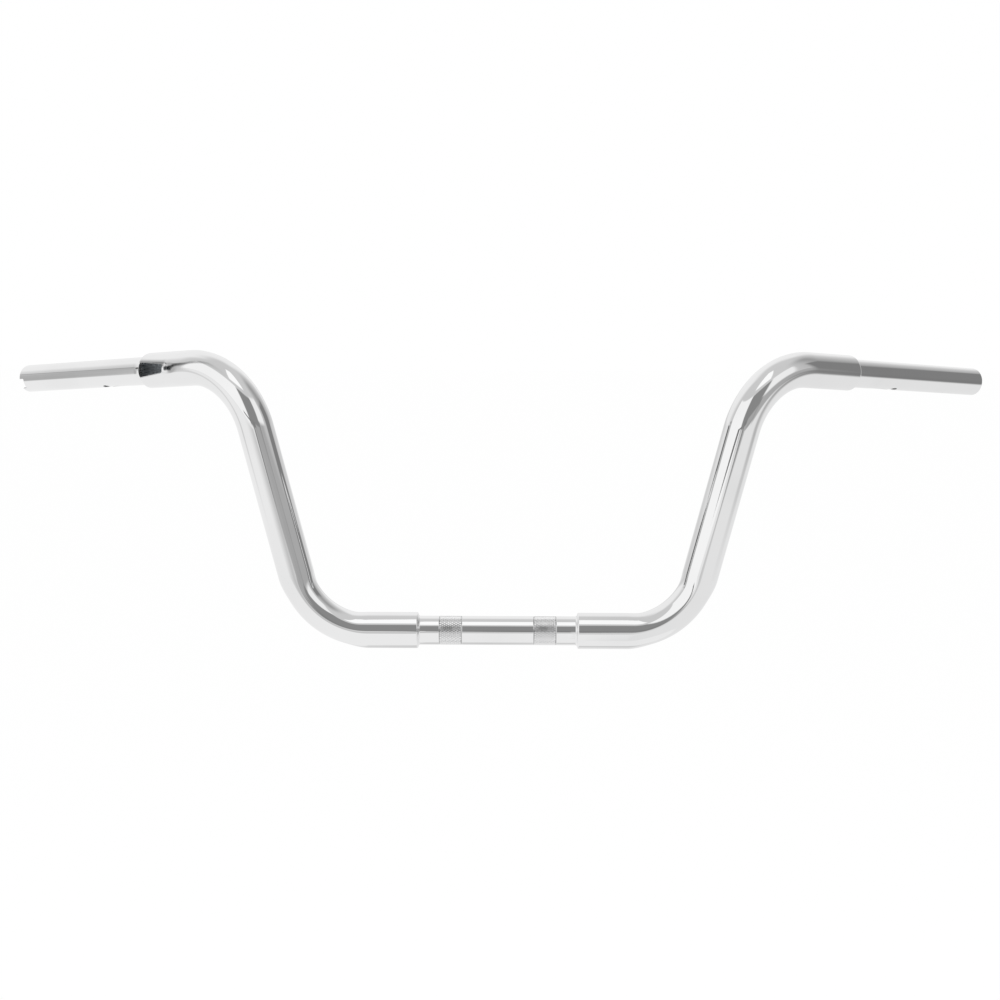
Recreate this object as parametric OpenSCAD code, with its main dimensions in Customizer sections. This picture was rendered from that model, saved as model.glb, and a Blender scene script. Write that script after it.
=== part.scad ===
// Ape hanger handlebar, welded up from five steel tubes and chromed as one.
// A 1 inch clamp tube in the middle, a twice-bent 1.25 inch riser on each side,
// and a 1 inch grip tube on the end of each riser.
// X runs along the clamp tube, Y towards the rider, Z up.
// The origin is the middle of the clamp tube, on its axis.
// Left and right are the sides of someone who faces the bar from the front wheel.

/* [Tube stock] */
// Outer diameter of the clamp tube and of the grip tubes
tube_od = 25.4; // [24:0.1:27]
// Wall of the clamp tube and of the grip tubes
tube_wall = 2.1; // [1.6:0.1:3]
// Outer diameter of the risers
riser_od = 31.75; // [30:0.25:38]
// Amount taken off a tube's radius where it is turned down to enter a riser
spigot_turn = 0.3; // [0.05:0.05:0.5]

/* [Clamp tube] */
// Bare length of the clamp tube between the two risers
clamp_len = 140; // [120:1:200]
// Length of tube hidden inside the foot of each riser
clamp_spigot = 28; // [15:1:40]
// Distance between the middles of the two knurled bands
knurl_gap = 83; // [60:1:94]
// Width of each knurled band
knurl_w = 20.4; // [10:0.2:30]
// Depth of the knurl's root below the tube
knurl_depth = 0.3; // [0.1:0.05:0.5]

/* [Risers] */
// Straight foot of a riser before its lower bend
foot_len = 43.5; // [32:0.5:80]
// Radius of both bends, on the tube's centre line
bend_r = 66.7; // [50:0.1:110]
// Angle through which the lower bend turns the tube upwards
rise_angle = 75; // [50:1:88]
// Straight length between the two bends
rise_len = 133; // [60:1:400]
// Angle by which the grips are swept back towards the rider
pullback = 36.3; // [10:0.1:60]
// Angle by which the grips slope down to their ends
droop = 3.3; // [0:0.1:15]
// Straight length between the upper bend and the grip tube
neck_len = 56; // [44:1:90]
// Amount by which bending draws in the tube's radius
bend_draw = 0.02; // [0.02:0.01:0.1]
// Rounding of the riser's edge beside the clamp tube
foot_round = 1.4; // [0.6:0.1:1.8]
// Thickness of the weld fillet's rim beside the riser
fillet_rim = 0.15; // [0.05:0.05:0.4]

/* [Grip tubes] */
// Bare length of each grip tube, from the riser's nose to its end
grip_len = 168.4; // [150:0.1:220]
// Length of grip tube hidden inside the neck of each riser
grip_spigot = 20; // [12:1:28]
// Radial depth of the seat bored in the open end
seat_step = 0.45; // [0.3:0.05:0.7]
// Length of the seat bored in the open end
seat_len = 60; // [30:1:80]
// Rounding of the outer edge of the open end
end_round = 0.6; // [0.2:0.1:1]

/* [Wiring] */
// Length of the slot in the neck of the left riser
slot_len = 32.4; // [24:0.1:38]
// Height of the slot at the riser's nose
slot_h = 14; // [9:0.5:17]
// Height of the slot at its inner end
slot_inner_h = 8; // [6:0.5:9]
// Radius of the slot's corners
slot_corner = 2.4; // [1:0.1:2.9]
// How far the slot runs past the riser's nose into the grip tube
slot_lip = 0.5; // [0.2:0.1:3]
// Diameter of the wire hole under each grip tube
wire_hole_d = 9.5; // [6:0.5:11]
// Distance of the wire hole from the riser's nose
wire_hole_x = 55; // [52:1:80]
// Angle of the wire hole and the dimple below the front
wire_angle = 84; // [60:1:120]
// Distance of the dimple's middle from the riser's nose
dimple_x = 37.5; // [30:0.5:38]
// Depth of the dimple pressed into each grip tube
dimple_depth = 1.8; // [0.8:0.1:2]
// Length of the dimple
dimple_len = 26; // [16:1:28]
// Radius of the dimple across the tube
dimple_r = 7; // [5:0.5:9]
// Width of the notch in the end of the left grip tube
notch_w = 9.5; // [5:0.5:12]
// Depth of the notch, along the tube
notch_depth = 5.5; // [3:0.5:9]
// Radius of the notch's inner corners
notch_corner = 1; // [0.5:0.1:2]
// Angle of the notch below the front
notch_angle = 24; // [0:1:90]

/* [Hidden] */
$fn = 96;

chrome = [0.80, 0.81, 0.83];
chrome_dim = [0.68, 0.70, 0.72];

// How far a cutting shape stands clear of what it cuts
clear_of = 2;
// Length over which a straight and the bend beside it run into each other
bend_lap = 0.5;

tube_r = tube_od / 2;
bore_r = tube_r - tube_wall;
spigot_r = tube_r - spigot_turn;
riser_r = riser_od / 2;
// The riser's bore is the size of the tubes that enter it, so its nose meets them in a sharp seam
riser_bore_r = tube_r;
nose_round = riser_r - riser_bore_r;
fillet_r = riser_r - tube_r - foot_round;

// Directions of the riser between its bends and of the grip, on the right side
rise_dir = [cos(rise_angle), 0, sin(rise_angle)];
grip_dir = [cos(droop) * cos(pullback), cos(droop) * sin(pullback), -sin(droop)];
// Turn of the upper bend, and the turn about the tube's own axis that is made before it
upper_angle = acos(rise_dir * grip_dir);
upper_roll = atan2(-grip_dir[1], -sin(rise_angle) * grip_dir[0] + cos(rise_angle) * grip_dir[2]);

// Points along the centre line of the right side
lower_start = [clamp_len / 2 + foot_len, 0, 0];
lower_end = lower_start + bend_r * [sin(rise_angle), 0, 1 - cos(rise_angle)];
upper_start = lower_end + rise_len * rise_dir;
upper_end = upper_start + bend_r * tan(upper_angle / 2) * (rise_dir + grip_dir);
nose = upper_end + neck_len * grip_dir;

// Radius along the tube of the tool that presses the dimple
dimple_tool_r = dimple_len * dimple_len / (8 * dimple_depth);

// Ring with a wall from radius inner to radius outer, seen as half its section
module wall_section(inner, outer, from, to) {
    translate([inner, from]) square([outer - inner, to - from]);
}

// Solid rod whose outer edge is rounded at its far end
module rounded_rod(r, len, edge) {
    rotate_extrude() {
        square([r - edge, len]);
        square([r, len - edge]);
        translate([r - edge, len - edge]) intersection() {
            circle(edge);
            square(edge);
        }
    }
}

// What follows starts at the far end of a straight length
module past(len) {
    translate([0, 0, len]) children();
}

// What follows starts at the far end of a bend, which first turns about the tube by roll
module past_bend(angle, roll) {
    rotate([0, 0, roll]) translate([bend_r, 0, 0]) rotate([0, angle, 0])
        translate([-bend_r, 0, 0]) rotate([0, 0, -roll]) children();
}

// One bend of a solid rod
module bend(r, angle, roll) {
    rotate([0, 0, roll]) translate([bend_r, 0, 0]) rotate([90, 0, 180])
        rotate_extrude(angle = angle) translate([bend_r, 0]) circle(r);
}

// Straight rod whose plain end reaches a little way back into the bend before it
module lapped_rod(r, len) {
    past(-bend_lap) cylinder(r = r, h = len + bend_lap);
}

// The riser's run as a solid rod, from the start of its lower bend to the end of its upper one,
// with what stands at its far end
module run(r) {
    past(foot_len) {
        bend(r - bend_draw, rise_angle, 0);
        past_bend(rise_angle, 0) {
            lapped_rod(r, rise_len + bend_lap);
            past(rise_len) {
                bend(r - bend_draw, upper_angle, upper_roll);
                past_bend(upper_angle, upper_roll) children();
            }
        }
    }
}

// The right riser, standing on the end of the clamp tube
module riser() {
    translate([clamp_len / 2, 0, 0]) rotate(a = 180, v = [1, 0, 1]) difference() {
        union() {
            past(foot_len + bend_lap) rotate([180, 0, 0])
                rounded_rod(riser_r, foot_len + bend_lap, foot_round);
            run(riser_r) past(-bend_lap) rounded_rod(riser_r, neck_len + bend_lap, nose_round);
        }
        past(-clear_of) cylinder(r = riser_bore_r, h = foot_len + clear_of + bend_lap);
        run(riser_bore_r) lapped_rod(riser_bore_r, neck_len + clear_of);
    }
}

// Places a shape that is drawn along X from the riser's nose, with the front at -Y
module at_nose() {
    translate(nose) rotate([0, droop, pullback]) children();
}

// Points a shape that is drawn downwards at an angle below the front
module below_front(angle) {
    rotate([angle - 90, 0, 0]) children();
}

// The wiring slot, cut through the front of the neck and of the tube inside it
module slot() {
    inner = slot_inner_h / 2 - slot_corner;
    outer = slot_h / 2 - slot_corner;
    left = slot_corner - slot_len;
    right = slot_lip - slot_corner;
    rotate([90, 0, 0]) linear_extrude(riser_r + clear_of) {
        polygon([[left, -inner], [right, -outer], [right, outer], [left, inner]]);
        for (side = [-1, 1]) {
            slot_edge([left, side * inner], [right, side * outer]);
            translate([left, side * inner]) circle(slot_corner);
            translate([right, side * outer]) circle(slot_corner);
        }
        translate([left - slot_corner, -inner]) square([slot_corner, 2 * inner]);
        translate([right, -outer]) square([slot_corner, 2 * outer]);
    }
}

// Band along one sloping side of the slot, as wide as its corners' radius each way
module slot_edge(start, end) {
    run_x = end[0] - start[0];
    run_y = end[1] - start[1];
    translate(start) rotate(atan2(run_y, run_x))
        translate([0, -slot_corner]) square([norm([run_x, run_y]), 2 * slot_corner]);
}

// The tool that presses the dimple, made fatter by grow to give the inside of the wall
module dimple_tool(grow) {
    depth_at = tube_r - dimple_depth + dimple_tool_r;
    below_front(wire_angle) translate([dimple_x, 0, -depth_at]) rotate([90, 0, 0])
        rotate_extrude() translate([dimple_tool_r - dimple_r, 0]) circle(dimple_r + grow);
}

// Round hole for the wires, through the lower wall only
module wire_hole() {
    below_front(wire_angle) translate([wire_hole_x, 0, -tube_r - clear_of])
        cylinder(d = wire_hole_d, h = tube_r + clear_of);
}

// Notch that stops a throttle sensor from turning
module notch() {
    half = notch_w / 2 - notch_corner;
    bottom = grip_len - notch_depth;
    below_front(notch_angle) translate([bottom, 0, -tube_r - clear_of])
        linear_extrude(tube_r + clear_of) {
            translate([notch_corner, -notch_w / 2]) square([notch_depth + clear_of, notch_w]);
            translate([0, -half]) square([notch_depth, 2 * half]);
            for (side = [-1, 1]) translate([notch_corner, side * half]) circle(notch_corner);
        }
}

// Inside of a grip tube, with the bored seat at its open end
module grip_bore() {
    difference() {
        translate([-grip_spigot - clear_of, 0, 0]) rotate([0, 90, 0])
            cylinder(r = bore_r, h = grip_spigot + grip_len + 2 * clear_of);
        dimple_tool(tube_wall);
    }
    translate([grip_len - seat_len, 0, 0]) rotate([0, 90, 0])
        cylinder(r = bore_r + seat_step, h = seat_len + clear_of);
}

// A grip tube along X, with its dimple and wire hole
module grip_tube() {
    difference() {
        union() {
            translate([-grip_spigot, 0, 0]) rotate([0, 90, 0])
                cylinder(r = spigot_r, h = grip_spigot);
            rotate([0, 90, 0]) rounded_rod(tube_r, grip_len, end_round);
        }
        grip_bore();
        dimple_tool(0);
        wire_hole();
    }
}

module clamp_tube() {
    half = clamp_len / 2;
    color(chrome_dim) rotate([0, 90, 0]) rotate_extrude() {
        difference() {
            wall_section(bore_r, tube_r, -half, half);
            for (side = [-1, 1]) translate([0, side * knurl_gap / 2])
                wall_section(tube_r - knurl_depth, tube_r + clear_of, -knurl_w / 2, knurl_w / 2);
        }
        for (side = [0, 1]) mirror([0, side]) {
            wall_section(bore_r, spigot_r, half - clear_of, half + clamp_spigot);
            difference() {
                wall_section(tube_r - tube_wall / 2, tube_r + fillet_r, half - fillet_rim - fillet_r, half);
                translate([tube_r + fillet_r, half - fillet_rim - fillet_r]) circle(fillet_r);
            }
        }
    }
}

module riser_left() {
    color(chrome) mirror([1, 0, 0]) difference() {
        riser();
        at_nose() slot();
    }
}

module riser_right() {
    color(chrome) riser();
}

module grip_tube_left() {
    color(chrome_dim) mirror([1, 0, 0]) at_nose() difference() {
        grip_tube();
        slot();
        notch();
    }
}

module grip_tube_right() {
    color(chrome_dim) at_nose() grip_tube();
}

clamp_tube();
riser_left();
riser_right();
grip_tube_left();
grip_tube_right();
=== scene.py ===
# Ape hanger handlebar of chromed steel tube: the tubes and their knurl, the studio and the camera.
import logging
import math
from dataclasses import dataclass, field
from enum import Enum
from typing import Callable, Mapping, Optional, Sequence, Union

import bpy
import numpy as np
from mathutils import Matrix, Vector, kdtree


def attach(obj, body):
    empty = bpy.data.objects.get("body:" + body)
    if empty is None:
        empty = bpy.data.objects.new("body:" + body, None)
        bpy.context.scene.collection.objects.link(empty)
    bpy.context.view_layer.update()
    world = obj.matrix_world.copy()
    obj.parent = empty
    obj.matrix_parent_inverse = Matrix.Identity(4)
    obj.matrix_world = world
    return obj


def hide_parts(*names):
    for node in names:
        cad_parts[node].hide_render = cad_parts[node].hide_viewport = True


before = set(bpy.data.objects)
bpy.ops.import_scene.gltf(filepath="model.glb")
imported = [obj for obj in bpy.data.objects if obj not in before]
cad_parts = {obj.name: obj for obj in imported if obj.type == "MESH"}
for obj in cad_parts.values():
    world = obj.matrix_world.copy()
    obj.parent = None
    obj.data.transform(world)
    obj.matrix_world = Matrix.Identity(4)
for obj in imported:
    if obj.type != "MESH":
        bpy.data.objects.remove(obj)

Array = np.ndarray
Block = tuple[int, int, int, int]
Inputs = Mapping[Union[str, int], object]
Material = bpy.types.Material
Socket = bpy.types.NodeSocket
Tree = bpy.types.NodeTree
MM = 0.001
WELD_REACH = 0.003
# Painted dark reflection past the slot's inner end: middle angle and width in degrees, and
# strength, against distance in mm from the riser's nose.
DARK_REFLECTION_MIDDLE = ((-100, -84, -80, -76, -72, -68, -64, -60, -50, -46, -44, -36),
               (-37, -36, -32.5, -29, -25, -21, -17, -14, -12, -9, -3.5, -3))
DARK_REFLECTION_WIDTH = ((-100, -78, -60, -50, -46, -44, -36, -34.5),
              (3.0, 3.2, 3.4, 3.8, 5.0, 7.0, 6.0, 3.0))
DARK_REFLECTION_DEPTH = ((-104, -90, -84, -78, -70, -58, -50, -46, -44, -35.6, -34.6),
              (0.0, 0.12, 0.25, 0.42, 0.6, 0.62, 0.82, 0.95, 1.0, 1.0, 0.0))
LOG = logging.getLogger("ape_hanger")


class Side(Enum):
    """Half of the bar, as seen by someone who faces it from the front wheel."""

    LEFT = -1
    RIGHT = 1


class Coat(Enum):
    """Finish that a face carries, by its place in the piece's material slots."""

    PLATED = 0
    BORE = 1
    CUT = 2


def smooth(t: Array) -> Array:
    """Runs from 0 to 1 with level ends while t runs from 0 to 1."""
    t = np.clip(t, 0.0, 1.0)
    return t * t * (3.0 - 2.0 * t)


def unit(a: Array) -> Array:
    """Vectors scaled to length 1 along their last axis."""
    return a / np.maximum(np.linalg.norm(a, axis=-1, keepdims=True), 1e-12)


def turned(a: Array, axis: Array, angle: Array) -> Array:
    """Turns vectors about an axis.

    Args:
        a: Vectors, with a last axis of three.
        axis: Unit vector to turn about.
        angle: Angles in radians, with a last axis of one.

    Returns:
        The turned vectors.
    """
    cos, sin = np.cos(angle), np.sin(angle)
    along = np.sum(a * axis, axis=-1, keepdims=True)
    return a * cos + np.cross(np.broadcast_to(axis, a.shape), a) * sin + axis * along * (1 - cos)


def even(start: float, end: float, step: float) -> list[float]:
    """Distances between two ends, about a step apart, without the ends themselves."""
    count = max(1, round(abs(end - start) / step))
    return shares(start, end, count)


def shares(start: float, end: float, count: int) -> list[float]:
    """Distances that part the way between two ends evenly, without the ends themselves."""
    return [start + (end - start) * k / count for k in range(1, count)]


@dataclass
class CentreLine:
    """Bent centre line of the right half, in mm, from the riser's foot to the grip's open end."""

    clamp_half: float = 70.0
    foot: float = 43.5
    bend_radius: float = 66.7
    rise_angle: float = 75.0
    rise: float = 133.0
    pullback: float = 36.3
    droop: float = 3.3
    neck: float = 56.0
    lower_press: float = 0.09
    upper_press: float = 0.02
    press_ramp: float = 0.22

    def __post_init__(self) -> None:
        """Works out the directions and the distances at which each stretch starts."""
        up, back, down = map(math.radians, (self.rise_angle, self.pullback, self.droop))
        self.rise_dir = np.array([math.cos(up), 0.0, math.sin(up)])
        self.grip_dir = np.array([math.cos(down) * math.cos(back), math.cos(down) * math.sin(back),
                                  -math.sin(down)])
        self.grip_front = np.array([math.sin(back), -math.cos(back), 0.0])
        self.grip_up = np.cross(self.grip_front, self.grip_dir)
        self.lower_turn = up
        self.upper_turn = math.acos(float(self.rise_dir @ self.grip_dir))
        self.lower_axis = np.array([0.0, -1.0, 0.0])
        self.upper_axis = unit(np.cross(self.rise_dir, self.grip_dir))
        self.lower_at = self.foot
        self.rise_at = self.lower_at + self.bend_radius * self.lower_turn
        self.upper_at = self.rise_at + self.rise
        self.neck_at = self.upper_at + self.bend_radius * self.upper_turn
        self.nose_at = self.neck_at + self.neck

    def stops(self, first: float, straight: float, bent: float) -> list[float]:
        """Rows from a distance near the foot up to the neck, closer together in the bends.

        Args:
            first: Distance after which they start.
            straight: Step on the straights.
            bent: Step in the bends.

        Returns:
            The distances, with those at which a bend starts or ends.
        """
        rows: list[float] = []
        marks = (first, self.lower_at, self.rise_at, self.upper_at, self.neck_at)
        for a, b, step in zip(marks, marks[1:], (straight, bent) * 2):
            rows += even(a, b, step) + [b]
        return rows

    def frames(self, s: Array) -> tuple[Array, Array, Array, Array]:
        """Places along the centre line.

        Args:
            s: Distances in mm from the riser's foot.

        Returns:
            Points, directions, front vectors and up vectors, each with a last axis of three.
        """
        s = np.asarray(s, float)[..., None]
        low = np.clip((s - self.lower_at) / self.bend_radius, 0.0, self.lower_turn)
        top = np.clip((s - self.upper_at) / self.bend_radius, 0.0, self.upper_turn)
        x, z = np.array([1.0, 0, 0]), np.array([0, 0, 1.0])
        inward = np.cross(self.upper_axis, self.rise_dir)
        point = (self.clamp_half + np.minimum(s, self.lower_at)) * x
        point = point + self.bend_radius * (np.sin(low) * x + (1 - np.cos(low)) * z)
        point = point + np.clip(s - self.rise_at, 0.0, self.rise) * self.rise_dir
        arc = np.sin(top) * self.rise_dir + (1 - np.cos(top)) * inward
        point = point + self.bend_radius * arc
        point = point + np.maximum(s - self.neck_at, 0.0) * self.grip_dir

        def carried(a: Array) -> Array:
            """Takes a vector of the grip back along the bends."""
            a = turned(np.broadcast_to(a, point.shape), self.upper_axis, top - self.upper_turn)
            return turned(a, self.lower_axis, low - self.lower_turn)

        return point, carried(self.grip_dir), carried(self.grip_front), carried(self.grip_up)

    def pressed(self, s: Array, along: Array, out: Array) -> Array:
        """Share of its radius that a bent tube keeps where bending has flattened it.

        Args:
            s: Distances in mm from the riser's foot.
            along: Direction of the centre line at each.
            out: Direction from the centre line to the skin.

        Returns:
            A factor for the radius, 1 on the straights.
        """
        kept = np.ones(s.shape)
        for start, turn, axis, press in (
                (self.lower_at, self.lower_turn, self.lower_axis, self.lower_press),
                (self.upper_at, self.upper_turn, self.upper_axis, self.upper_press)):
            length = self.bend_radius * turn
            ramp = self.press_ramp * length
            share = smooth((s - start) / ramp) * smooth((start + length - s) / ramp)
            in_plane = np.sum(out * np.cross(np.broadcast_to(axis, along.shape), along), axis=-1)
            kept = kept - press * share * in_plane ** 2
        return kept


class Profile:
    """Half section of one skin of a tube, and the rows at which the mesh follows it."""

    def __init__(self, s: float, r: float) -> None:
        """Starts the section.

        Args:
            s: Distance of its first point along the centre line, in mm.
            r: Radius of that point, in mm.
        """
        self.trace: list[tuple[float, float]] = [(s, r)]
        self.run: list[float] = [0.0]
        self.rows: list[float] = [0.0]

    def add(self, s: float, r: float) -> float:
        """Adds a point to the section.

        Args:
            s: Distance of the point.
            r: Its radius.

        Returns:
            Length of the section up to it.
        """
        last = self.trace[-1]
        self.trace.append((s, r))
        self.run.append(self.run[-1] + math.hypot(s - last[0], r - last[1]))
        return self.run[-1]

    def to(self, s: float, r: float, stops: Sequence[float] = ()) -> "Profile":
        """Goes straight on.

        Args:
            s: Distance at the end of the line.
            r: Radius at the end of the line.
            stops: Distances on the way that get a row.

        Returns:
            The profile itself.
        """
        (s0, _), v0 = self.trace[-1], self.run[-1]
        v1 = self.add(s, r)
        self.rows += [v0 + (v1 - v0) * (stop - s0) / (s - s0) for stop in stops]
        self.rows.append(v1)
        return self

    def arc(self, s: float, r: float, radius: float, start: float, end: float,
            count: int) -> "Profile":
        """Goes round an arc.

        Args:
            s: Distance of the arc's centre.
            r: Radius at which its centre lies.
            radius: Radius of the arc itself.
            start: Angle at which it starts, in degrees.
            end: Angle at which it ends.
            count: Number of rows that it gets.

        Returns:
            The profile itself.
        """
        fine = 8
        for k in range(1, count * fine + 1):
            a = math.radians(start + (end - start) * k / (count * fine))
            v = self.add(s + radius * math.cos(a), r + radius * math.sin(a))
            if k % fine == 0:
                self.rows.append(v)
        return self

    def at(self, v: Array) -> tuple[Array, Array]:
        """Distance and radius at lengths v along the section."""
        trace = np.array(self.trace)
        return np.interp(v, self.run, trace[:, 0]), np.interp(v, self.run, trace[:, 1])

    def place(self, s: Array) -> Array:
        """Length along the section at distances s, where the section runs along the tube."""
        return np.interp(s, np.array(self.trace)[:, 0], self.run)

    def row(self, s: float) -> int:
        """Number of the row at distance s."""
        return int(np.argmin(np.abs(np.array(self.rows) - self.place(np.array(s)))))


@dataclass
class Facing:
    """A stretch of surface: points, normals, four-cornered faces, coat and each point's share of
    painted shade and painted dark reflection.
    """

    points: Array
    normals: Array
    faces: Array
    coat: Coat = Coat.PLATED
    painted_shade: Optional[Array] = None


def strip_faces(rows: int, count: int, closed: bool) -> Array:
    """Faces between rings of points.

    Args:
        rows: Number of rings.
        count: Number of points in each ring.
        closed: Whether the last point of a ring joins the first.

    Returns:
        Four corner numbers for each face.
    """
    wide = count if closed else count - 1
    i, j = np.meshgrid(np.arange(rows - 1), np.arange(wide), indexing="ij")
    i, j, k = i.ravel() * count, j.ravel(), (j.ravel() + 1) % count
    return np.stack([i + j, i + k, i + count + k, i + count + j], axis=1)


@dataclass
class Skin:
    """One skin of a tube: a profile carried round the centre line, with presses and dents."""

    line: CentreLine
    profile: Profile
    coat: Coat = Coat.PLATED
    inward: bool = False
    dent: Optional[Callable[[Array, Array, Array], Array]] = None
    # Gives the share of painted shade and painted dark reflection at each point.
    painted_shade: Optional[Callable[[Array, Array], Array]] = None
    columns: int = 144

    def __post_init__(self) -> None:
        """Lays out the columns, from the back round under the front."""
        self.angles = (np.arange(self.columns) / self.columns - 0.5) * 2 * math.pi

    def point(self, v: Array, angle: Array) -> Array:
        """Points of the skin.

        Args:
            v: Lengths along the section, in mm.
            angle: Angles below the front, in radians.

        Returns:
            Points in mm.
        """
        v = np.clip(v, 0.0, self.profile.run[-1])
        s, r = self.profile.at(v)
        middle, along, front, up = self.line.frames(s)
        out = np.cos(angle)[..., None] * front - np.sin(angle)[..., None] * up
        r = r * self.line.pressed(s, along, out)
        if self.dent:
            r = self.dent(s, angle, r)
        return middle + r[..., None] * out

    def painted_shade_at(self, v: Array, angle: Array) -> Array:
        """Share of painted shade and painted dark reflection at lengths v along the section and
        angles below the front.
        """
        s, _ = self.profile.at(np.clip(v, 0.0, self.profile.run[-1]))
        return self.painted_shade(s, angle) if self.painted_shade else np.zeros(v.shape)

    def slopes(self, v: Array, angle: Array) -> tuple[Array, Array]:
        """Directions of the skin.

        Args:
            v: Lengths along the section, in mm.
            angle: Angles below the front, in radians.

        Returns:
            Unit vectors down the section, and unit vectors round the tube.
        """
        dv, da = 0.04, 0.003
        down = self.point(v + dv, angle) - self.point(v - dv, angle)
        round_ = self.point(v, angle + da) - self.point(v, angle - da)
        return unit(down), unit(round_)

    def normal(self, v: Array, angle: Array) -> Array:
        """Normals of the skin, which point out of the metal."""
        down, round_ = self.slopes(v, angle)
        return unit(np.cross(down, round_)) * (1.0 if self.inward else -1.0)

    def sheet(self, cuts: Sequence[Block]) -> Facing:
        """The skin as a grid with blocks left out.

        Args:
            cuts: First row, last row, first column and last column of each block.

        Returns:
            The grid's surface.
        """
        v, a = np.meshgrid(np.array(self.profile.rows), self.angles, indexing="ij")
        faces = strip_faces(v.shape[0], self.columns, True)
        i, j = faces[:, 0] // self.columns, faces[:, 0] % self.columns
        keep = np.ones(len(faces), bool)
        for i0, i1, j0, j1 in cuts:
            keep &= ~((i >= i0) & (i < i1) & (j >= j0) & (j < j1))
        points, normals = self.point(v, a), self.normal(v, a)
        return Facing(points.reshape(-1, 3), normals.reshape(-1, 3), faces[keep], self.coat,
                      self.painted_shade_at(v, a).ravel())

    def block(self, angle: float, half: int, first: Optional[float] = None,
              last: Optional[float] = None) -> Block:
        """The grid's block round an angle, which makes room for a cut.

        Args:
            angle: Middle of the block, in radians below the front.
            half: Number of columns on each side of it.
            first: Distance at which it starts, or the skin's own first row.
            last: Distance at which it ends, or the skin's own last row.

        Returns:
            First row, last row, first column and last column.
        """
        column = int(np.argmin(np.abs(self.angles - angle)))
        top = 0 if first is None else self.profile.row(first)
        end = len(self.profile.rows) - 1 if last is None else self.profile.row(last)
        return top, end, column - half, column + half


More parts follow.
